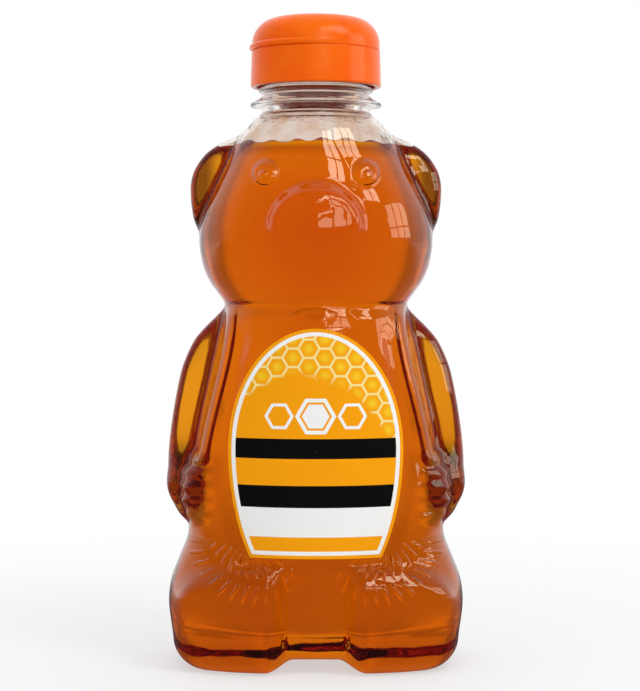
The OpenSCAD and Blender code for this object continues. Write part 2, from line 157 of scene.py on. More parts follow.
# Trunk and fins: height, half width, half depth in front and behind as hundredths, squareness
STATIONS = np.array([
    [4.5, 95.0, 98, 102, 2.7], [10.5, 98.9, 100, 105, 2.7], [15.0, 97.4, 100, 106, 2.7],
    [19.5, 91.4, 100, 104, 2.7], [23.7, 85.8, 100, 103, 2.7], [34.0, 83.0, 100, 101, 2.7],
    [42.0, 79.0, 100, 100, 2.7], [50.5, 72.5, 100, 98, 2.7], [58.5, 65.9, 99, 94, 2.6],
    [63.0, 62.1, 95, 89, 2.4], [65.3, 61.0, 90, 86, 2.3], [67.5, 66.2, 96, 93, 2.2],
    [69.8, 72.0, 103, 100, 2.2], [73.0, 76.4, 109, 106, 2.2], [77.3, 78.3, 112, 109, 2.2],
    [81.8, 75.3, 108, 106, 2.2], [85.0, 70.6, 104, 102, 2.2], [88.6, 64.3, 97, 96, 2.2],
    [92.0, 58.5, 90, 88, 2.1], [95.3, 52.8, 82, 81, 2.0], [97.2, 47.8, 77, 77, 2.0],
    [98.6, 42.6, 71, 71, 2.0], [100.0, 37.8, 62, 62, 2.0]])
EAR_FIN = np.array([
    [76.0, 68.0, 12], [78.5, 77.0, 20], [80.5, 81.4, 25], [83.0, 83.4, 28], [85.5, 84.2, 30],
    [87.5, 84.0, 30], [89.7, 81.9, 28], [91.8, 77.2, 25], [93.2, 72.5, 21], [94.4, 66.0, 17],
    [95.6, 56.0, 13], [97.0, 40.0, 10]])
ARM_FIN = np.array([
    [22.0, 72.0, 18], [24.4, 82.0, 30], [26.7, 91.5, 38], [29.0, 96.3, 43], [31.2, 98.6, 45],
    [34.0, 99.7, 45], [37.0, 99.7, 41], [40.5, 98.8, 36], [45.0, 96.6, 34], [50.5, 93.0, 33],
    [54.4, 89.3, 31], [58.7, 82.0, 27], [61.0, 75.0, 24], [63.2, 66.5, 19], [65.3, 58.0, 15],
    [68.0, 45.0, 11]])
FIN_SQUARE = 2.6

# Hundredths of height from which the ears' fin takes over from the arms', and the neck's root begins
EARS_FROM = 71
ROOT_FROM = 99

# Share of the fine relief that shows on the wall's inside
INSIDE_DETAIL = 0.35


# Maths on whole arrays

def smooth(x):
    """0 below 0, 1 above 1 and an S between them."""
    t = np.clip(x, 0, 1)
    return t * t * (3 - 2 * t)


def mix(a, b, t):
    """a where t is 0, b where t is 1."""
    return a + (b - a) * t


def blend_max(a, b, k):
    """The larger of two values, rounded over k where they meet."""
    return (a + b + np.sqrt((a - b) ** 2 + k * k)) / 2


def curve(t, table, col):
    """A table's column as a cubic curve over its first column, with slopes from its neighbours."""
    x, v = table[:, 0], table[:, col]
    low = np.clip(np.arange(len(x)) - 1, 0, None)
    high = np.clip(np.arange(len(x)) + 1, None, len(x) - 1)
    slope = (v[high] - v[low]) / (x[high] - x[low])
    i = np.clip(np.searchsorted(x, t) - 1, 0, len(x) - 2)
    h = x[i + 1] - x[i]
    u = np.clip((t - x[i]) / h, 0, 1)
    return ((2 * u ** 3 - 3 * u ** 2 + 1) * v[i] + (u ** 3 - 2 * u ** 2 + u) * slope[i] * h
            + (3 * u ** 2 - 2 * u ** 3) * v[i + 1] + (u ** 3 - u ** 2) * slope[i + 1] * h)


def oblong(s, c, a, b, n):
    """Distance from the axis to a rounded oblong of half width a and half depth b, in direction s, c."""
    return ((np.abs(s) / a) ** n + (np.abs(c) / b) ** n) ** (-1 / n)


def patch(x, z, at, size, soft):
    """1 inside an ellipse round a place, 0 outside, with a soft edge."""
    d = np.hypot((x - at[0]) / size[0], (z - at[1]) / size[1])
    return smooth((1 - d) / soft)


# The bear's surface

def label_half(u):
    """Half width of the label's egg outline at height u above its straight lower edge."""
    v = u - LABEL_WIDEST
    b = np.where(v < 0, LABEL_BELOW, LABEL_ABOVE)
    return LABEL_W / 2 * np.sqrt(np.clip(1 - (v / b) ** 2, 0, None))


def panel(c):
    """Distance from the axis to the shallow cylinder that carries the label, where c is the cosine of
    the direction: the far root of its quadratic."""
    d = PANEL_AXIS
    return -c * d + np.sqrt(np.clip((c * d) ** 2 - d * d + PANEL_R ** 2, 0, None))


def on_panel(x, z):
    """1 under the label and its margin, running out over a narrow edge."""
    margin, edge = 1.6, 1.4
    u = z - LABEL_Z
    half = label_half(np.clip(u, 0, LABEL_H))
    return (smooth((half + margin + edge - x) / edge) * smooth((u + margin + edge) / edge)
            * smooth((LABEL_H + margin + edge - u) / edge))


def foot(x, z):
    """The feet: full from the belly channel to the hip, under a curved top."""
    top = 0.21 * BODY_H - 0.018 * np.clip(x - 17, 0, None) ** 2
    return (smooth((x - 7) / 3) * smooth((top - z) / (0.06 * BODY_H)) * smooth((BODY_W / 2 - x) / 10))


def fingers(x, z):
    """Rounded fingers one below the other, which wrap the belly side of each paw."""
    total = np.zeros_like(x)
    for k in range(5):
        at = (27.4 + 0.25 * abs(k - 2), 50.4 - 3.5 * k)
        total = np.maximum(total, patch(x, z, at, (3.6, 1.95), 0.6))
    return total


def arm_off(x, z):
    """How far outwards a place lies from the arm's middle line, which leans out down to the paw."""
    return x - ARM_X - ARM_LEAN * smooth((ARM_TOP - z) / ARM_RUN)


def ridges(x, z):
    """The raised arm tube with a crease beside it, the mark over the label and the channel's edges."""
    off = arm_off(x, z)
    drop = np.clip(PAW_Z - z, 0, None)
    tube = smooth(1 - (off ** 2 + drop ** 2) / TUBE_SQUARE) * smooth((TUBE_END_Z - z) / 3)
    crease = (smooth(1 - np.abs(off + CREASE_OFF) / CREASE_HALF) * smooth((CREASE_TOP - z) / CREASE_FADE)
              * smooth((z - CREASE_LOW) / CREASE_FADE))
    mark = smooth((5.3 - np.hypot(x, (z - MARK_Z) / 0.3)) / 0.7)
    gully = smooth(1 - np.abs(x - CHANNEL_X) / 0.9) * smooth((z - 6) / 3) * smooth((26 - z) / 4)
    rim = smooth((3.3 - np.hypot(x - EYE_X, z - EYE_Z)) / 0.55)
    return 0.45 * tube - 0.55 * crease + 0.2 * mark - 0.4 * gully + 0.3 * rim


def face(x, z):
    """Eyes, snout and nose."""
    snout = 3.0 * patch(x, z, (0, 104.8), (12.3, 11.8), 0.32 + 0.5 * smooth((107 - z) / 8))
    nose = 0.6 * patch(x, z, (0, 110.8), (3.6, 2.2), 0.9)
    eye = 0.8 * patch(x, z, (EYE_X, EYE_Z), (3.2, 3.2), 0.5)
    return snout + nose + eye


def bear(a, z, detail=1.0):
    """Distance from the axis to the bear's outside, a degrees round from its face, at height z: the
    trunk's oblong, pressed to the label's panel, or the ear's or arm's fin where that reaches further,
    and in front the relief on top; detail is the share of the fine relief that shows."""
    s, c = np.sin(np.radians(a)), np.cos(np.radians(a))
    t = 100 * z / BODY_H
    hw, hd = BODY_W / 200, BODY_D / 200
    front = c > 0
    deep = np.where(front, curve(t, STATIONS, 2), curve(t, STATIONS, 3))
    main = oblong(s, c, curve(t, STATIONS, 1) * hw, deep * hd, curve(t, STATIONS, 4))
    fin = np.where(
        t > EARS_FROM,
        oblong(s, c, curve(t, EAR_FIN, 1) * hw, curve(t, EAR_FIN, 2) * hd, FIN_SQUARE),
        oblong(s, c, curve(t, ARM_FIN, 1) * hw, curve(t, ARM_FIN, 2) * hd, FIN_SQUARE))
    x = np.abs(main * s)
    flat = front * on_panel(x, z)
    trunk = mix(main, panel(c), flat)
    paw = patch(np.abs(a), z / BODY_H, (74, 0.322), (17, 0.07), 0.8)
    relief = face(x, z) + 4.2 * foot(x, z) * (1 - flat) + 2.4 * paw
    solid = blend_max(trunk, fin, np.clip(1 - flat, 0.001, 1))
    fine = 0.65 * fingers(np.abs(solid * s), z) + ridges(x, z)
    body = solid + front * (relief + detail * fine)
    return mix(body, ROOT_R, smooth(t - ROOT_FROM))


def column_angles(n):
    """Angles round the body from the back over the face, closer together on the face and sides."""
    u = 2 * np.arange(n) / n - 1
    w = 180 * np.sign(u) * mix(np.abs(u), u * u, 0.15)
    return w - 5 * np.sin(np.radians(4 * w))


def arch(x, y):
    """The arch between the feet, high in front and low behind."""
    return (2.7 * (1 - smooth((np.abs(x) - 5.6) / 6.6)) * np.where(y < 0, 1, 0.3)
            * smooth((np.abs(y) - 4) / 8))


def base_rows(a, shares):
    """Rows of the underside, from its middle out to the rounding at the ground."""
    edge = (bear(a, np.full_like(a, FOOT_ROUND), 0) - FOOT_INSET) * shares[:, None]
    x, y = edge * np.sin(np.radians(a)), -edge * np.cos(np.radians(a))
    z = np.maximum(PUSH_UP * smooth((0.68 - shares[:, None]) / 0.5), arch(x, y))
    return np.stack([x, y, z], axis=-1)


def round_rows(a, turns):
    """Rows of the rounding between the underside and the feet, turned up through the given degrees."""
    w = np.radians(turns)[:, None]
    r = bear(a, np.full_like(a, FOOT_ROUND), 0) - FOOT_INSET * (1 - np.sin(w))
    x, y = r * np.sin(np.radians(a)), -r * np.cos(np.radians(a))
    z = FOOT_ROUND * (1 - np.cos(w)) + arch(x, y) * np.cos(w)
    return np.stack([x, y, z], axis=-1)


def body_rows(a, heights, detail=1.0):
    """Rows of the body at the given heights."""
    z = np.repeat(heights[:, None], len(a), axis=1)
    aa = np.repeat(a[None, :], len(heights), axis=0)
    r = bear(aa, z, detail)
    return np.stack([r * np.sin(np.radians(aa)), -r * np.cos(np.radians(aa)), z], axis=-1)


def skin(a, base_n, round_n, body_n, detail=1.0):
    """The whole outer skin, from the middle of the base up to the neck's root."""
    shares = np.linspace(0.06, 1, base_n)
    turns = np.linspace(0, 90, round_n + 2)[1:-1]
    heights = np.concatenate([np.linspace(FOOT_ROUND, 0.975 * BODY_H, body_n),
                              np.linspace(0.98 * BODY_H, BODY_H, 14)])
    return np.concatenate([base_rows(a, shares), round_rows(a, turns), body_rows(a, heights, detail)])


def inward(p, t):
    """Every row moved into the wall by t, square to the surface."""
    up = np.empty_like(p)
    up[1:-1] = p[2:] - p[:-2]
    up[0] = p[1] - p[0]
    up[-1] = p[-1] - p[-2]
    across = np.roll(p, -1, axis=1) - np.roll(p, 1, axis=1)
    n = np.cross(across, up)
    return p - t * n / np.linalg.norm(n, axis=-1, keepdims=True)


# Meshes

def mesh_piece(name, points, faces, slots=None, materials=(), sharp=None):
    """A smooth mesh object from points in millimetres round the neck's axis and a list of face arrays."""
    me = bpy.data.meshes.new(name)
    loops = np.concatenate([f.ravel() for f in faces])
    sizes = np.concatenate([np.full(len(f), f.shape[1]) for f in faces])
    starts = np.concatenate([[0], np.cumsum(sizes)[:-1]])
    me.vertices.add(len(points))
    me.vertices.foreach_set("co", ((points + [0, NECK_Y, 0]) * MM).astype(np.float32).ravel())
    me.loops.add(len(loops))
    me.loops.foreach_set("vertex_index", loops.astype(np.int32))
    me.polygons.add(len(sizes))
    me.polygons.foreach_set("loop_start", starts.astype(np.int32))
    me.polygons.foreach_set("use_smooth", np.ones(len(sizes), dtype=bool))
    for m in materials:
        me.materials.append(m)
    if slots is not None:
        me.polygons.foreach_set("material_index", slots.astype(np.int32))
    me.update(calc_edges=True)
    me.validate()
    ob = bpy.data.objects.new(name, me)
    bpy.context.scene.collection.objects.link(ob)
    if sharp is not None:
        me.set_sharp_from_angle(angle=math.radians(sharp))
    return ob


def tube_faces(rows, cols):
    """Quads of a grid that closes round, rows upwards, outside seen from outside."""
    i, j = np.meshgrid(np.arange(cols), np.arange(rows - 1))
    a = (j * cols + i).ravel()
    b = (j * cols + (i + 1) % cols).ravel()
    return np.stack([a, b, b + cols, a + cols], axis=1)


def fan_faces(cols, start, centre, last):
    """Triangles from a centre point to a ring; last says that the ring ends the surface."""
    i = np.arange(cols)
    a, b = start + i, start + (i + 1) % cols
    c = np.full(cols, centre)
    return np.stack([a, b, c], axis=1) if last else np.stack([b, a, c], axis=1)


def closed_grid(name, p, low, high, slot_rows=None, materials=()):
    """A closed surface over rows of points, ended by a centre point below and above."""
    rows, cols = p.shape[:2]
    points = np.concatenate([p.reshape(-1, 3), [low], [high]])
    n = rows * cols
    quads = tube_faces(rows, cols)
    slots = None
    if slot_rows is not None:
        slots = np.concatenate([np.repeat(slot_rows[:-1], cols), np.full(cols, slot_rows[0]),
                                np.full(cols, slot_rows[-1])])
    return mesh_piece(name, points, [quads, fan_faces(cols, 0, n, False),
                                     fan_faces(cols, n - cols, n + 1, True)], slots, materials)


def arc(cx, cz, r, start, end, n):
    """Points of a circle between two directions, in degrees."""
    w = np.radians(np.linspace(start, end, n))
    return np.stack([cx + r * np.cos(w), cz + r * np.sin(w)], axis=1)


def line(*pts, step=0.5):
    """Points along straight stretches, no further apart than step."""
    out = [np.array(pts[:1], dtype=float)]
    for a, b in zip(pts[:-1], pts[1:]):
        n = max(1, int(math.ceil(math.dist(a, b) / step)))
        out.append(np.linspace(a, b, n + 1)[1:])
    return np.concatenate(out)


def lathe(profile, cols):
    """Rows of a turned shape from a profile of radius and height."""
    w = np.linspace(0, 2 * np.pi, cols, endpoint=False)
    r, z = profile[:, 0][:, None], profile[:, 1][:, None]
    return np.stack([r * np.sin(w), -r * np.cos(w), np.repeat(z, cols, axis=1)], axis=-1)


def ring_piece(name, rows, materials=()):
    """A closed ring: a grid that closes both round and along its profile."""
    n, cols = rows.shape[:2]
    i, j = np.meshgrid(np.arange(cols), np.arange(n))
    a = (j * cols + i).ravel()
    b = (j * cols + (i + 1) % cols).ravel()
    up = ((j + 1) % n * cols + i).ravel()
    upb = ((j + 1) % n * cols + (i + 1) % cols).ravel()
    return mesh_piece(name, rows.reshape(-1, 3), [np.stack([a, b, upb, up], axis=1)], None, materials)


def turned(p):
    """Points of the closure turned so that its thumb lip stands to the bear's right."""
    w = math.radians(-CLOSURE_TURN)
    out = p.copy()
    out[..., 0] = p[..., 0] * math.cos(w) - p[..., 1] * math.sin(w)
    out[..., 1] = p[..., 0] * math.sin(w) + p[..., 1] * math.cos(w)
    return out


# Materials

class Val:
    """A socket that does arithmetic: every operator adds the Math node it names."""

    def __init__(self, mat, socket):
        self.mat = mat
        self.socket = socket

    def op(self, kind, other=None):
        args = [self] if other is None else [self, other]
        return self.mat.node("ShaderNodeMath", {"operation": kind}, dict(enumerate(args)))

    def __add__(self, o): return self.op("ADD", o)
    def __radd__(self, o): return self.op("ADD", o)
    def __sub__(self, o): return self.op("SUBTRACT", o)
    def __rsub__(self, o): return self.mat.value(o).op("SUBTRACT", self)
    def __mul__(self, o): return self.op("MULTIPLY", o)
    def __rmul__(self, o): return self.op("MULTIPLY", o)
    def __truediv__(self, o): return self.op("DIVIDE", o)
    def __gt__(self, o): return self.op("GREATER_THAN", o)
    def __lt__(self, o): return self.op("LESS_THAN", o)
    def abs(self): return self.op("ABSOLUTE")
    def sqrt(self): return self.op("SQRT")
    def min(self, o): return self.op("MINIMUM", o)
    def max(self, o): return self.op("MAXIMUM", o)
    def floor(self): return self.op("FLOOR")
    def atan2(self, o): return self.op("ARCTAN2", o)
    def wave(self): return self.op("COSINE")
    def cut(self, low, high):
        """0 below low, 1 above high and an S between them."""
        return self.mat.node("ShaderNodeMapRange", {"interpolation_type": "SMOOTHSTEP"},
                             {"Value": self, "From Min": low, "From Max": high})


class Graph:
    """A node tree whose nodes are made by one method."""

    def __init__(self, holder, out):
        holder.use_nodes = True
        self.tree = holder.node_tree
        self.tree.nodes.clear()
        self.out = self.tree.nodes.new(out)

    def node(self, kind, settings=None, inputs=None, output=0):
        """A node of one kind: its settings first, then its sockets' values or links."""
        n = self.tree.nodes.new(kind)
        for key, v in (settings or {}).items():
            setattr(n, key, v)
        for key, v in (inputs or {}).items():
            if isinstance(v, Val):
                self.tree.links.new(v.socket, n.inputs[key])
            else:
                n.inputs[key].default_value = v
        return Val(self, n.outputs[output])

    def value(self, v):
        """A plain number as a socket."""
        return self.node("ShaderNodeMath", {"operation": "ADD"}, {0: v, 1: 0.0})

    def coords(self):
        """Object coordinates in metres."""
        return self.node("ShaderNodeTexCoord", output="Object")

    def part(self, vector, k):
        """The vector's x, y or z."""
        return self.node("ShaderNodeSeparateXYZ", None, {0: vector}, output=k)

    def place(self):
        """Object coordinates: x, y and z in millimetres, and the whole vector in metres."""
        co = self.coords()
        x, y, z = (self.part(co, k) * (1 / MM) for k in range(3))
        return x, y, z, co

    def noise(self, co, scale, detail=2.0, rough=0.5):
        """Even random swells round 0.5, scale of them to a metre."""
        return self.node("ShaderNodeTexNoise", None,
                         {"Vector": co, "Scale": scale, "Detail": detail, "Roughness": rough})

    def colour(self, fac, a, b):
        """Colour a where fac is 0 and b where it is 1."""
        def rgba(c):
            return c if isinstance(c, Val) else (*c, 1.0)
        sockets = {0: fac, 6: rgba(a), 7: rgba(b)}
        return self.node("ShaderNodeMix", {"data_type": "RGBA"}, sockets, output=2)

    def seen(self):
        """1 for rays from the camera, then for reflected and for refracted ones."""
        return [self.node("ShaderNodeLightPath", output=k)
                for k in ("Is Camera Ray", "Is Glossy Ray", "Is Transmission Ray")]

    def screens(self, x, y):
        """White screens on four sides, with dim corners between them, darkest in front."""
        far = (x * x + y * y).sqrt().max(0.001)
        corners = (y / far).cut(0, 0.5) * 0.4 + 0.15
        return (x.abs().max(y.abs()) / far).cut(0.7, 0.88).max(corners)

    def blend(self, fac, a, b):
        """Shader a where fac is 0 and b where it is 1."""
        return self.node("ShaderNodeMixShader", None, {0: fac, 1: a, 2: b})

    def bump(self, height, strength, distance):
        """A normal that leans as a relief of that height would."""
        return self.node("ShaderNodeBump", None,
                         {"Strength": strength, "Distance": distance, "Height": height})

    def shader(self, **inputs):
        """The surface shader, its sockets named as in Blender with _ for a space."""
        names = {k.replace("_", " "): v for k, v in inputs.items()}
        return self.node("ShaderNodeBsdfPrincipled", None, names)

    def finish(self, shader, volume=None):
        """Ends the tree in its output."""
        self.tree.links.new(shader.socket, self.out.inputs["Surface"])
        if volume is not None:
            self.tree.links.new(volume.socket, self.out.inputs["Volume"])


class Mat(Graph):
    """A material, which is a node tree that ends in a surface."""

    def __init__(self, name):
        self.material = bpy.data.materials.new(name)
        super().__init__(self.material, "ShaderNodeOutputMaterial")

    def surface(self, shader, volume=None):
        self.finish(shader, volume)
        return self.material


def moulded_lines(m, x, y, z):
    """Height in millimetres of the fine lines moulded in the front: eyes, the mark over the label,
    arms, fur, the belly channel's edges and the line round the base."""
    side = x.abs()

    def disc(at_x, at_z, tall, inner, outer):
        """1 inside an ellipse, tall times as high as wide, running out between two half widths."""
        dx, dz = side - at_x, (z - at_z) / tall
        return 1 - (dx * dx + dz * dz).sqrt().cut(inner, outer)

    pupil = disc(EYE_X + 0.6, EYE_Z - 0.5, 1.0, 0.4, 1.3)
    eye = disc(EYE_X, EYE_Z, 1.0, 2.75, 3.3) * 0.3 + pupil * 0.5
    mark = disc(0.0, MARK_Z, 0.3, 4.6, 5.3) * 0.35
    # Arms: a long tube whose middle line leans outwards as it goes down to the paw
    off = side - ((ARM_TOP - z).cut(0, ARM_RUN) * ARM_LEAN + ARM_X)
    drop = (PAW_Z - z).max(0)
    far = (off * off + drop * drop) / TUBE_SQUARE
    rib = (1 - far).max(0).cut(0, 1) * 0.35 * (TUBE_END_Z - z).cut(0, 3)
    crease = ((1 - (off + CREASE_OFF).abs() / CREASE_HALF).cut(0, 1)
              * (CREASE_TOP - z).cut(0, CREASE_FADE) * (z - CREASE_LOW).cut(0, CREASE_FADE))
    # Fur: two fans of short strokes below a point above each foot
    fx, fz = side - 15.0, 34 - z
    rho = (fx * fx + fz * fz).sqrt()
    turn = fx.atan2(fz)
    near = (rho.cut(6, 7.5) - rho.cut(9, 11.5)) * (turn * 30 + rho * 0.9).wave().cut(0.2, 1.0)
    outer = (rho.cut(12, 13.5) - rho.cut(14.5, 17.5)) * (turn * 36 - rho * 0.7).wave().cut(0.2, 1.0)
    fur = (near * 0.6 + outer * 0.3) * (side - 4.5).cut(0, 1.5) * fz.cut(2.5, 4.5)
    # The belly channel's edges and the line round the base
    gully = (1 - (side - CHANNEL_X).abs().cut(0.2, 0.9)) * z.cut(6, 9) * (26 - z).cut(0, 4)
    ground = 1 - (z - 9.5 - x * x / 450).abs().cut(0.2, 1.0)
    front = (NECK_Y - y).cut(0, 2)
    return (eye + mark + rib - crease * 0.4 + fur - gully * 0.4 - ground * 0.06) * front


def clear_wall():
    """Clear blown plastic that carries the honey's amber up to the fill line: glossy, with its moulded
    lines and the unevenness of a blown skin. Painted shade deepens its amber on the ears, paws, soles and
    the honey's brim; painted light makes it paler under the arch."""
    m = Mat("clear_wall")
    x, y, z, co = m.place()
    body_amber, arch_painted_light, painted_shade_amber = (0.89, 0.375, 0.02), (0.85, 0.55, 0.03), (0.40, 0.14, 0.01)
    ear_painted_shade, paw_painted_shade, bare = (0.27, 0.095, 0.008), (0.36, 0.22, 0.02), (0.95, 0.89, 0.85)
    ripple = m.noise(co, 75, 1.0) * 0.26 + m.noise(co, 180, 1.0) * 0.07
    ripple = ripple + m.noise(co, 110, 1.0) * (1 - z.cut(3, 11)) * 0.6
    # Painted shade: ears, soles, paws and the brim of the honey are painted deeper than the body; painted
    # light: the arch is painted paler
    side = x.abs()
    # Painted shade: the ears are painted dark brown
    ears = (side - 22.5).cut(0, 4) * (z - 99).cut(0, 5)
    # Painted shade: a dark band painted just under the honey's top
    brim = z.cut(FILL_Z - 5, FILL_Z - 2.5) * 0.75
    # Painted shade: the paws are painted brown
    paw_shade = (side - 25).cut(0, 3) * (z - 33).cut(0, 4) * (54 - z).cut(0, 5)
    # Painted shade: the lowest part beside the channel is painted darker
    sole_shade = (12 - z).cut(0, 8) * (side - 9).cut(0, 6) * 0.55
    # Painted light: paler gold painted under the arch, between the feet
    arch_light = (8 - z).cut(0, 4) * (1 - (side - 8).cut(0, 5))
    amber = m.colour(arch_light, body_amber, arch_painted_light)
    amber = m.colour(brim.max(sole_shade), amber, painted_shade_amber)
    amber = m.colour(ears, amber, ear_painted_shade)
    amber = m.colour(paw_shade, amber, paw_painted_shade)
    tone = m.colour(z.cut(FILL_Z - 2.6, FILL_Z - 1.2), amber, bare)
    return m.surface(m.shader(
        Base_Color=tone, Roughness=0.012, IOR=1.5, Transmission_Weight=1.0,
        Normal=m.bump(moulded_lines(m, x, y, z) + ripple, 1.0, MM)))


def smeared_wall():
    """The wall's inside above the honey, with a thin film of it left in streaks."""
    m = Mat("smeared_wall")
    co = m.coords()
    drawn_out = m.node("ShaderNodeVectorMath", {"operation": "MULTIPLY"}, {0: co, 1: (1.0, 1.0, 0.35)})
    streaks = m.noise(drawn_out, 120, 3.0, 0.6)
    tone = m.colour(streaks.cut(0.42, 0.66), (0.86, 0.78, 0.72), (0.72, 0.45, 0.28))
    return m.surface(m.shader(
        Base_Color=tone, Roughness=0.03, IOR=1.5, Transmission_Weight=1.0,
        Normal=m.bump(streaks * 0.4, 1.0, MM)))


def wetted_wall():
    """The wall's inside where honey touches it: the two bend light alike, so nothing shows there."""
    m = Mat("wetted_wall")
    co = m.coords()
    tone = m.colour(m.noise(co, 60, 1.0), (1.0, 1.0, 1.0), (0.99, 0.985, 0.98))
    return m.surface(m.shader(Base_Color=tone, Roughness=0.0, Alpha=0.0))


def honey_body(name, index):
    """Amber liquid: a tinted surface, and a colour that deepens with the honey that light crosses."""
    m = Mat(name)
    co = m.coords()
    tone = m.colour(m.noise(co, 28, 2.0).cut(0.35, 0.65), (0.90, 0.82, 0.68), (1.0, 1.0, 0.95))
    volume = m.node("ShaderNodeVolumeAbsorption", None, {"Color": (0.955, 0.80, 0.0, 1), "Density": 140.0})
    skin_of_honey = m.shader(Base_Color=tone, Roughness=0.0, IOR=index, Transmission_Weight=1.0)
    return m.surface(skin_of_honey, volume)


def orange_moulding():
    """Moulded plastic: even orange, soft gloss, a very fine grain and faint flow marks."""
    m = Mat("orange_moulding")
    co = m.coords()
    flow = m.noise(co, 70, 3.0, 0.6)
    grain = m.noise(co, 2600, 2.0)
    tone = m.colour(flow.cut(0.3, 0.7), (1.0, 0.12, 0.0), (1.0, 0.16, 0.0))
    return m.surface(m.shader(
        Base_Color=tone, Roughness=0.16 + flow * 0.1, IOR=1.45, Specular_IOR_Level=0.3,
        Normal=m.bump(grain * 0.004 + flow * 0.06, 1.0, MM)))


def gasket_foam():
    """White foamed liner with fine open cells."""
    m = Mat("gasket_foam")
    co = m.coords()
    cells = m.noise(co, 1800, 2.0)
    tone = m.colour(cells, (0.78, 0.77, 0.72), (0.9, 0.89, 0.85))
    return m.surface(m.shader(Base_Color=tone, Roughness=0.75, Normal=m.bump(cells, 0.3, 0.0002)))


def label_print():
    """Printed film: amber field, comb cells above, dark and pale bands below, a plain motif between."""
    m = Mat("label_print")
    x, y, z, co = m.place()
    amber, pale = (1.0, 0.38, 0.0), (1.0, 0.8, 0.3)
    white, black = (0.95, 0.95, 0.94), (0.004, 0.004, 0.004)
    u = z - LABEL_Z
    v = u - LABEL_WIDEST
    below = v < 0.0
    deep = below * LABEL_BELOW + (1 - below) * LABEL_ABOVE
    half = LABEL_W / 2
    # Distance in from the outline: the ellipse's own measure over its steepness, and the straight edge
    q = ((x / half) * (x / half) + (v / deep) * (v / deep)).sqrt()
    gx, gz = x / half ** 2, v / (deep * deep)
    inside = (1 - q) * q / (gx * gx + gz * gz).sqrt().max(0.001)
    edge = inside.min(u)
    size = 4.3
    tall = size * math.sqrt(3)
    clear_of_zero = 50

    def from_middle(shift):
        """Distance from the middles of one lattice of cells, across and up."""
        px = (x + clear_of_zero + shift * tall) / tall
        pz = (z + clear_of_zero + shift * size) / size
        return (px - px.floor() - 0.5).abs() * tall, (pz - pz.floor() - 0.5).abs() * size

    def hexagon(dx, dz):
        """Distance from a middle as a hexagon measures it, the same all along its sides."""
        return (dx * (math.sqrt(3) / 2) + dz * 0.5).max(dz)

    cell = hexagon(*from_middle(0.0)).min(hexagon(*from_middle(0.5)))
    fill = m.colour(cell.cut(0, size * 0.46), (1.0, 0.62, 0.02), amber)
    comb = m.colour(cell.cut(size * 0.41, size * 0.46), fill, pale)
    # The comb hangs from the arch and reaches further down on one side
    hang = LABEL_H - u - x * 0.35 + (10.5 - inside * 1.15).max(0) * -1.3
    art = m.colour(1 - hang.cut(9.5, 12.5), amber, comb)

    def badge(at_x, r, line_w):
        """A plain cell in the motif's row: 1 in a line of that width inside its outline."""
        d = hexagon((x - at_x).abs(), (u - 0.62 * LABEL_H).abs())
        return (d < r) * (d > r - line_w)

    # Three plain cells in white line, the middle one full with an amber line in it
    motif = badge(0, 4.2, 4.2).max(badge(-8.6, 3.0, 0.7)).max(badge(8.6, 3.0, 0.7))
    art = m.colour(motif, art, white)
    art = m.colour(badge(0, 3.3, 0.5), art, amber)
    # Bands, from and to a share of the label's height
    for band, low, high in ((black, 0.435, 0.522), (black, 0.222, 0.318),
                            (white, 0.094, 0.222), (amber, 0.028, 0.094)):
        art = m.colour((u > low * LABEL_H) * (u < high * LABEL_H), art, band)
    art = m.colour(edge < 1.75, art, white)
    art = m.colour(edge < 0.8, art, amber)
    # Plain white on the glued side, seen through the honey
    depth = y - (NECK_Y + PANEL_AXIS)
    art = m.colour((x * x + depth * depth).sqrt() < PANEL_R + LABEL_MIDDLE, art, white)
    sheen = m.noise(co, 300, 2.0)
    return m.surface(m.shader(
        Base_Color=art, Roughness=0.25 + sheen * 0.1, IOR=1.45, Specular_IOR_Level=0.15,
        Normal=m.bump(sheen * 0.01, 1.0, MM)))


clear_mat = clear_wall()
wetted_mat = wetted_wall()
smeared_mat = smeared_wall()
honey_side_mat = honey_body("honey_side", 1.0)
honey_top_mat = honey_body("honey_top", 1.49)
orange_mat = orange_moulding()
gasket_mat = gasket_foam()
label_mat = label_print()


# Bottle

def neck_profile():
    """The finish above the shoulder: root, carrying ring, cone, bead, thread land and rim."""
    bead_z = RING_Z + 3.4
    return np.concatenate([
        arc(ROOT_R, BODY_H + 0.5, 0.5, 262, 180, 8),
        line((THROAT_R, BODY_H + 0.6), (THROAT_R, RING_Z - 0.25), step=0.3),
        arc(THROAT_R + 0.25, RING_Z - 0.25, 0.25, 180, 90, 4)[1:],
        line((THROAT_R + 0.4, RING_Z), (RING_R - 0.25, RING_Z + 0.05), step=0.5),
        arc(RING_R - 0.22, RING_Z + 0.27, 0.22, 280, 360, 5),
        arc(RING_R - 0.22, RING_Z + 0.6, 0.22, 0, 80, 5),
        line((RING_R - 0.45, RING_Z + 0.95), (NECK_R + 0.75, RING_Z + 2.45), step=0.3),
        arc(NECK_R + 0.6, RING_Z + 3.05, 0.6, 255, 180, 6),
        line((NECK_R, RING_Z + 3.1), (NECK_R, bead_z - 0.02), step=0.3),
        arc(BEAD_R - 0.55, bead_z + 0.55, 0.55, 255, 450, 14),
        line((NECK_R + 0.25, bead_z + 1.14), (NECK_R, bead_z + 1.4), (NECK_R, RIM_Z - 0.55), step=0.22),
        arc(NECK_R - 0.45, RIM_Z - 0.45, 0.45, 0, 90, 6),
        line((NECK_R - 0.7, RIM_Z), (MOUTH_R + 0.35, RIM_Z), step=0.3),
        arc(MOUTH_R + 0.3, RIM_Z - 0.3, 0.3, 90, 180, 5),
        line((MOUTH_R, RIM_Z - 0.5), (MOUTH_R, BODY_H + 1.2), step=1.2),
    ])


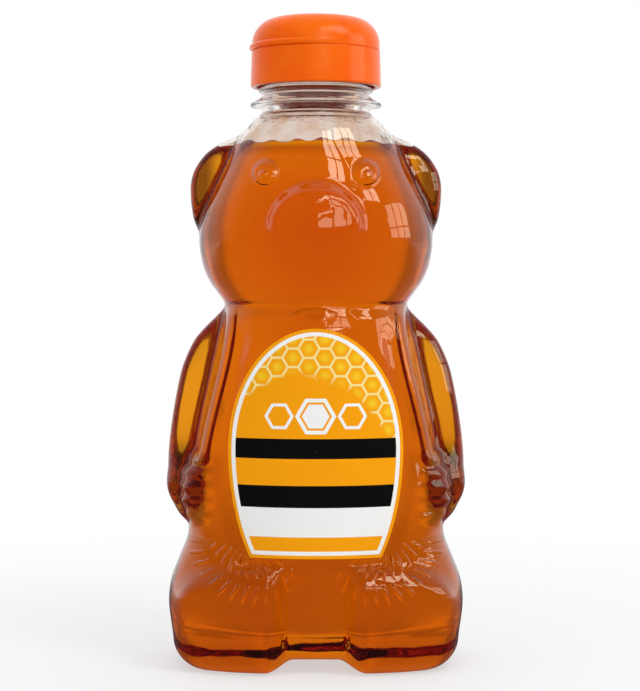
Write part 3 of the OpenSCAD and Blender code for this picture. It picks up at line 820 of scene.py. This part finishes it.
def helix(w, z, low, start, turns):
    """1 on a ridge that climbs PITCH a turn from height low, w radians round, and lasts for so many
    turns after its start, with soft sides and ends; 0 beside it."""
    lift = np.zeros(z.shape)
    for turn in range(3):
        along = w / (2 * np.pi) + turn
        ends = smooth((along - start) / RIDGE_END) * smooth((start + turns - along) / RIDGE_END)
        off = np.abs(z - low - PITCH * along)
        lift = np.maximum(lift, smooth((RIDGE - off) / RIDGE_SLOPE) * ends)
    return lift


def make_bottle():
    """The wall as one closed surface: outside up to the rim, down the mouth and over the inside."""
    a = column_angles(240)
    outer = skin(a, base_n=8, round_n=10, body_n=170)
    profile = neck_profile()
    w = np.radians(a)
    r = np.repeat(profile[:, 0][:, None], len(a), axis=1)
    z = np.repeat(profile[:, 1][:, None], len(a), axis=1)
    thread = helix(np.mod(w, 2 * np.pi), z, THREAD_TOP - PITCH * TURNS, 0, TURNS)
    r = r + (THREAD_R - NECK_R) * thread * (np.abs(r - NECK_R) < ON_WALL)
    neck = np.stack([r * np.sin(w), -r * np.cos(w), z], axis=-1)
    inner = inward(skin(a, base_n=6, round_n=6, body_n=62, detail=INSIDE_DETAIL), WALL)
    inner = inner[inner[:, :, 2].max(axis=1) < BODY_H - 1.3][::-1]
    rows = np.concatenate([outer, neck, inner])
    # Slots: 0 outside, 2 smeared from the mouth down, 1 wetted below the filling's line
    mouth, throat_rows = len(outer) + len(neck), 8
    finish = np.zeros(len(rows))
    finish[mouth - throat_rows:] = 2
    finish[mouth:] = np.where(inner[:, :, 2].mean(axis=1) < FILL_Z + 0.3, 1, 2)
    return closed_grid("clear_bear_wall", rows, [0, 0, PUSH_UP], [0, 0, PUSH_UP + WALL], finish,
                       [clear_mat, wetted_mat, smeared_mat])


def make_honey():
    """The filling: the wall's inside a hair smaller, with a level top that climbs the wall in waves."""
    a = column_angles(200)
    p = inward(skin(a, base_n=10, round_n=8, body_n=118, detail=INSIDE_DETAIL), WALL + HONEY_GAP)
    keep = p[:, :, 2].max(axis=1) < FILL_Z - 1.6
    side = p[keep]
    full = p[~keep]
    w = np.radians(a)
    climb = FILL_Z - 0.9 + 0.3 * np.sin(4 * w + 0.6) + 0.4 * np.sin(15 * w + 2 * np.sin(2 * w))
    # The wall point at each column's own height of climb
    low, high = side[-1], full[2]
    share = ((climb - low[:, 2]) / (high[:, 2] - low[:, 2]))[:, None]
    brim = low + (high - low) * share
    rows = [side, brim[None]]
    # Rings of the top: share of the brim's reach, and how far down from it to the level middle
    for k, drop in ((0.97, 0.35), (0.9, 0.75), (0.75, 0.95), (0.4, 1.0)):
        ring = brim.copy()
        ring[:, :2] *= k
        ring[:, 2] = mix(climb, HONEY_TOP, drop)
        rows.append(ring[None])
    rows = np.concatenate(rows)
    slots = np.zeros(len(rows))
    slots[len(side):] = 1
    return closed_grid("honey_fill", rows, [0, 0, HONEY_BASE], [0, 0, HONEY_TOP], slots,
                       [honey_side_mat, honey_top_mat])


def make_label():
    """The label: a curved sheet with an egg outline, the panel's cylinder a hair and a sheet's
    thickness further out, joined by a plain edge."""
    n, m = 90, 61
    u = LABEL_H * (1 - np.cos(np.linspace(0, np.pi, n))) / 2
    u[0], u[-1] = 0.0, LABEL_H - 0.002
    s = np.linspace(-1, 1, m)
    x = label_half(u)[:, None] * s[None, :]
    z = np.repeat((LABEL_Z + u)[:, None], m, axis=1)
    layers = []
    for lift in (LABEL_BACK, LABEL_FRONT):
        y = PANEL_AXIS - np.sqrt((PANEL_R + lift) ** 2 - x * x)
        layers.append(np.stack([x, y, z], axis=-1).reshape(-1, 3))
    i, j = np.meshgrid(np.arange(m - 1), np.arange(n - 1))
    back = (j * m + i).ravel()
    front = back + n * m
    loop = np.concatenate([np.arange(m), np.arange(1, n) * m + m - 1,
                           (n - 1) * m + np.arange(m - 2, -1, -1), np.arange(n - 2, 0, -1) * m])
    after = np.roll(loop, -1)
    faces = [np.stack([front, front + 1, front + m + 1, front + m], axis=1),
             np.stack([back, back + m, back + m + 1, back + 1], axis=1),
             np.stack([loop, after, after + n * m, loop + n * m], axis=1)]
    return mesh_piece("printed_label", np.concatenate(layers), faces, None, [label_mat], sharp=40)


# Closure

def skirt_profile():
    """Closure base, anticlockwise from the foot of the bore: skirt, rim, deck, spout and ceiling."""
    bore = SKIRT_R - CAP_WALL
    top = SKIRT_R - DRAFT
    return np.concatenate([
        arc(bore + 0.3, SKIRT_Z + 0.3, 0.3, 180, 270, 5),
        arc(SKIRT_R - 0.5, SKIRT_Z + 0.5, 0.5, 270, 360, 7),
        line((SKIRT_R, SKIRT_Z + 0.7), (top, PART_Z - 0.3), step=1.0),
        arc(top - 0.2, PART_Z - 0.2, 0.2, 10, 90, 4),
        line((top - 0.4, PART_Z), (top - CAP_WALL + 0.1, PART_Z), step=0.5),
        line((top - CAP_WALL, PART_Z - 0.1), (top - CAP_WALL - 0.1, DECK_TOP), step=0.2),
        line((top - CAP_WALL - 0.6, DECK_TOP), (SPOUT_R + 0.5, DECK_TOP), step=1.5),
        arc(SPOUT_R + 0.4, DECK_TOP + 0.4, 0.4, 270, 180, 5),
        line((SPOUT_R, DECK_TOP + 0.6), (SPOUT_R, SPOUT_TOP - 0.5), step=0.8),
        arc(SPOUT_R - 0.4, SPOUT_TOP - 0.4, 0.4, 0, 90, 6),
        arc(ORIFICE_R + 0.3, SPOUT_TOP - 0.3, 0.3, 90, 180, 5),
        line((ORIFICE_R, SPOUT_TOP - 0.6), (ORIFICE_R, DECK_Z + 0.2), step=1.0),
        line((ORIFICE_R + 0.2, DECK_Z), (bore - 0.2, DECK_Z), step=2.0),
        line((bore, DECK_Z - 0.2), (bore, SKIRT_Z + 0.5), step=0.3),
    ])


def press_flat(p, low, high):
    """The closure's back pressed flat where the hinge sits."""
    out = p.copy()
    near = (np.abs(p[..., 0]) < HINGE_W / 2 + 1) & (p[..., 2] > low) & (p[..., 2] < high)
    out[..., 1] = np.where(near & (p[..., 1] > HINGE_FLAT), HINGE_FLAT, p[..., 1])
    return out


def make_closure_base():
    """The threaded skirt with its deck and spout; its thread stands inwards from the bore."""
    p = lathe(skirt_profile(), CLOSURE_COLS)
    w = np.mod(np.arctan2(p[..., 1], p[..., 0]), 2 * np.pi)
    bore = SKIRT_R - CAP_WALL
    below, start, turns, depth = 0.99, 0.35, 1.0, 1.5
    lift = helix(w, p[..., 2], THREAD_TOP - PITCH * TURNS - below, start, turns)
    on_bore = np.abs(np.hypot(p[..., 0], p[..., 1]) - bore) < ON_WALL
    p[..., :2] *= (1 - (on_bore * lift * depth) / bore)[..., None]
    return ring_piece("closure_skirt", turned(press_flat(p, PART_Z - 1.2, PART_Z + 1)), [orange_mat])


def dome(r, top, rounding, start_z, n=16):
    """Outline of the lid from its lower edge to the axis: a round shoulder, then a shallow crown."""
    crown = 0.7
    side = arc(r - rounding, top - crown - rounding, rounding, 0, 82, n)
    last = side[-1]
    k = np.linspace(1, 0, 14)[1:]
    cap = np.stack([last[0] * k, top - (top - last[1]) * k ** 2], axis=1)
    return np.concatenate([line((r, start_z), (r, side[0][1] - 0.05), step=0.25), side, cap])


def make_lid():
    """The flip lid: outer dome with its thumb lip, inner dome with the plug, one closed surface."""
    bore = LID_R - CAP_WALL
    foot_z = PART_Z + 0.04
    outer = dome(LID_R, TOP_Z, 6.2, foot_z + 0.12)[:-1]
    outer = np.concatenate([[[LID_R - 0.35, foot_z], [LID_R - 0.1, foot_z + 0.02]], outer])
    p = lathe(outer, CLOSURE_COLS)
    w = np.linspace(0, 2 * np.pi, CLOSURE_COLS, endpoint=False)
    # The lip: a bead whose circle lies off the axis, proud in front and gone at the sides
    out = 0.95 * np.cos(w) - 0.15
    z = p[..., 2] - LID_Z
    bead = np.sqrt(np.clip(1 - ((z - 0.65) / 0.65) ** 2, 0, 1))
    low_part = (z < 1.3) & (np.hypot(p[..., 0], p[..., 1]) > LID_R - 0.5)
    lift = np.where(low_part, np.clip(out, 0, None)[None, :] * bead ** 0.7, 0)
    p[..., :2] *= (1 + lift / LID_R)[..., None]
    plug_r = ORIFICE_R - 0.25
    ceiling = TOP_Z - CAP_WALL
    inner = dome(bore, ceiling, 4.8, LID_Z + 0.1, 12)
    inner = inner[inner[:, 0] > plug_r + 0.4]
    tip = SPOUT_TOP - 1.2
    inner = np.concatenate([
        inner,
        [[plug_r + 0.2, ceiling - 0.05], [plug_r, ceiling - 0.3], [plug_r, tip + 0.4],
         [plug_r - 0.15, tip + 0.1], [plug_r - 0.4, tip], [plug_r - 0.65, tip + 0.1],
         [plug_r - 0.7, tip + 0.4], [plug_r - 0.7, tip + 2.6], [0.4, tip + 2.9]],
    ])[::-1]
    inner = np.concatenate([inner, [[bore + 0.1, LID_Z]]])
    rows = np.concatenate([lathe(inner, CLOSURE_COLS), p])
    rows = press_flat(rows, PART_Z - 1, PART_Z + 2.6)
    return closed_grid("domed_lid", turned(rows), turned(np.array([0, 0, tip + 2.95])),
                       turned(np.array([0, 0, TOP_Z])), None, [orange_mat])


def make_film():
    """The film hinge: a thin strip that bulges out over the bend line between base and lid."""
    n, m = 33, 15
    t = np.linspace(-1, 1, n)
    mid_y = HINGE_FLAT - 0.25 + 1.15 * np.cos(t * np.pi / 2) ** 0.8
    mid_z = HINGE_Z + 0.15 + 0.95 * t
    half = 0.16 + 0.16 * t ** 2
    x = np.linspace(-HINGE_W / 2, HINGE_W / 2, m)
    dy, dz = np.gradient(mid_y), np.gradient(mid_z)
    length = np.hypot(dy, dz)
    ny, nz = dz / length, -dy / length
    outer = np.stack([mid_y + ny * half, mid_z + nz * half], axis=1)
    inner = np.stack([mid_y - ny * half, mid_z - nz * half], axis=1)[::-1]
    loop = np.concatenate([outer, inner])
    k = len(loop)
    pts = np.stack([np.repeat(x[:, None], k, axis=1), np.repeat(loop[:, 0][None], m, axis=0),
                    np.repeat(loop[:, 1][None], m, axis=0)], axis=-1)
    middle = loop.mean(axis=0)
    ends = np.array([[x[0], *middle], [x[-1], *middle]])
    points = turned(np.concatenate([pts.reshape(-1, 3), ends]))
    faces = [tube_faces(m, k), fan_faces(k, 0, m * k, False), fan_faces(k, (m - 1) * k, m * k + 1, True)]
    return mesh_piece("hinge_film", points, faces, None, [orange_mat])


def make_gasket():
    """The foam ring, with eased edges."""
    low, high = gasket_low[2], gasket_high[2]
    outer, inner, ease = 14.2, MOUTH_R - 0.5, 0.1
    profile = np.concatenate([
        arc(inner + ease, low + ease, ease, 180, 270, 3), arc(outer - ease, low + ease, ease, 270, 360, 3),
        arc(outer - ease, high - ease, ease, 0, 90, 3), arc(inner + ease, high - ease, ease, 90, 180, 3)])
    return ring_piece("foam_gasket", lathe(profile, 144), [gasket_mat])


def take_place(piece, node, body):
    """Puts a piece in a node's place on its body."""
    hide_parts(node)
    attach(piece, body)


take_place(make_bottle(), "bottle", "bear")
take_place(make_honey(), "honey", "bear")
take_place(make_label(), "front_label", "bear")
take_place(make_gasket(), "rim_gasket", "gasket")
take_place(make_closure_base(), "closure_base", "closure")
take_place(make_lid(), "flip_lid", "lid")
film = make_film()
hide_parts("film_hinge")
hinge = turned(np.array([[0, HINGE_Y, HINGE_Z - 0.5], [0, HINGE_Y, HINGE_Z + 0.8]])) + [0, NECK_Y, 0]
tuple(hinge[0] * MM)
tuple(hinge[1] * MM)
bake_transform(film)


# Stage: floor, light and camera

WHITE, DIM, ROOM_LIGHT = 1.0, 0.08, 0.68
WINDOW_AT = (0.31, -0.28, 0.46)
WARM = (1.0, 0.88, 0.66)
PANE_SHARE = (0.86, 0.9)


def make_floor():
    """A pale floor that runs out to white, so that only the bottle's own shadow is left on it."""
    me = bpy.data.meshes.new("floor")
    far = 3.0
    me.from_pydata([(-far, -far, 0), (far, -far, 0), (far, far, 0), (-far, far, 0)], [], [(0, 1, 2, 3)])
    ob = bpy.data.objects.new("floor", me)
    bpy.context.scene.collection.objects.link(ob)
    m = Mat("pale_floor")
    x, y, _, co = m.place()
    tone = m.colour(m.noise(co, 30, 3.0), (0.9, 0.9, 0.9), (0.92, 0.92, 0.92))
    camera, glossy, through = m.seen()
    out = (x * x + y * y).sqrt()
    away = out.cut(30, 260) * 0.45 + 0.55
    screens = m.screens(x, y)
    white, dim = (m.node("ShaderNodeEmission", None, {"Color": (1, 1, 1, 1), "Strength": level})
                  for level in (WHITE, DIM))
    matt = m.shader(Base_Color=tone, Roughness=0.7)
    # What the honey bends meets the screens further out and an even pale grey under the bottle
    open_floor = out.cut(40, 350)
    bent = m.blend(screens * open_floor + (1 - open_floor) * 0.6, dim, white)
    mirrored = m.blend(y.cut(0, 400), dim, white)
    direct = m.blend(camera * away, matt, white)
    me.materials.append(m.surface(m.blend(through, m.blend(glossy, direct, mirrored), bent)))


def panel_light(name, at, aim, size, power, panes=(1, 1), shiny=True, lit=True):
    """A soft rectangular lamp, cut into panes like a window: shiny shows in gloss, lit lights matt parts.
    The honey's bent light doesn't meet it, and one that only shows in gloss is warm."""
    turn = Vector(np.array(aim) - np.array(at)).to_track_quat("-Z", "Y")
    for i in range(panes[0]):
        for j in range(panes[1]):
            lamp = bpy.data.lights.new(name, "AREA")
            lamp.shape = "RECTANGLE"
            lamp.size = size[0] / panes[0] * PANE_SHARE[0]
            lamp.size_y = size[1] / panes[1] * PANE_SHARE[1]
            lamp.energy = power / (panes[0] * panes[1])
            if not lit:
                lamp.color = WARM
            ob = bpy.data.objects.new(name, lamp)
            across = ((i + 0.5) / panes[0] - 0.5) * size[0]
            up = ((j + 0.5) / panes[1] - 0.5) * size[1]
            ob.location = Vector(at) + turn @ Vector((across, up, 0))
            ob.rotation_euler = turn.to_euler()
            ob.visible_glossy = shiny
            ob.visible_diffuse = lit
            ob.visible_transmission = False
            bpy.context.scene.collection.objects.link(ob)


def make_world():
    """A white backdrop in a dim room: reflections find it behind the bottle, and what the honey
    bends finds white screens on four sides. An even soft light falls on matt parts."""
    world = bpy.data.worlds.new("studio")
    bpy.context.scene.world = world
    g = Graph(world, "ShaderNodeOutputWorld")
    facing = g.node("ShaderNodeTexCoord", output="Generated")
    x, y = (g.part(facing, k) for k in range(2))
    backdrop = y.cut(-0.4, 0.8)
    screens = g.screens(x, y)
    camera, glossy, through = g.seen()

    def background(level):
        """Even white light of that strength."""
        return g.node("ShaderNodeBackground", None, {"Color": (1, 1, 1, 1), "Strength": level})

    white_share = camera.max(through * screens).max(glossy * (1 - through) * backdrop)
    room = g.blend(white_share, background(DIM), background(WHITE))
    g.finish(g.blend(camera.max(glossy).max(through), background(ROOM_LIGHT), room))


def make_camera():
    """At the photograph's distance and height, looking slightly down."""
    focal_px, frame_px, sensor = 1837, 691, 36
    distance, height, looks_down = 0.45, 0.0917, 1.886
    cam = bpy.data.cameras.new("camera")
    cam.lens = focal_px / frame_px * sensor
    cam.sensor_width = sensor
    cam.clip_start = 0.01
    ob = bpy.data.objects.new("camera", cam)
    ob.location = (0.001, -distance + NECK_Y * MM, height)
    ob.rotation_euler = (math.radians(90 - looks_down), 0, 0)
    bpy.context.scene.collection.objects.link(ob)
    bpy.context.scene.camera = ob


make_floor()
make_world()
panel_light("window_light", WINDOW_AT, (0, 0, 0.09), (0.22, 0.26), 1.0, shiny=False)
panel_light("window", WINDOW_AT, (0, 0, 0.09), (0.22, 0.26), 1.1, panes=(3, 3), lit=False)
panel_light("high_pane", (0.14, -0.40, 0.49), (0, 0, 0.12), (0.12, 0.16), 0.4, panes=(2, 2), lit=False)
panel_light("low_pane", (0.117, -0.517, 0.325), (0, 0, 0.11), (0.22, 0.11), 0.25, panes=(3, 2), lit=False)
panel_light("side_pane", (0.55, -0.1, 0.25), (0, 0, 0.12), (0.32, 0.26), 0.8, panes=(3, 2), lit=False)
panel_light("fill_left", (-0.5, -0.3, 0.25), (0, 0, 0.09), (0.3, 0.4), 0.15, shiny=False)
panel_light("overhead", (0, 0.1, 0.6), (0, 0, 0.1), (0.4, 0.4), 0.5, shiny=False)
make_camera()

scene = bpy.context.scene
scene.view_settings.view_transform = "Standard"
scene.cycles.max_bounces = 40
scene.cycles.glossy_bounces = 16
scene.cycles.transmission_bounces = 40
scene.cycles.transparent_max_bounces = 40
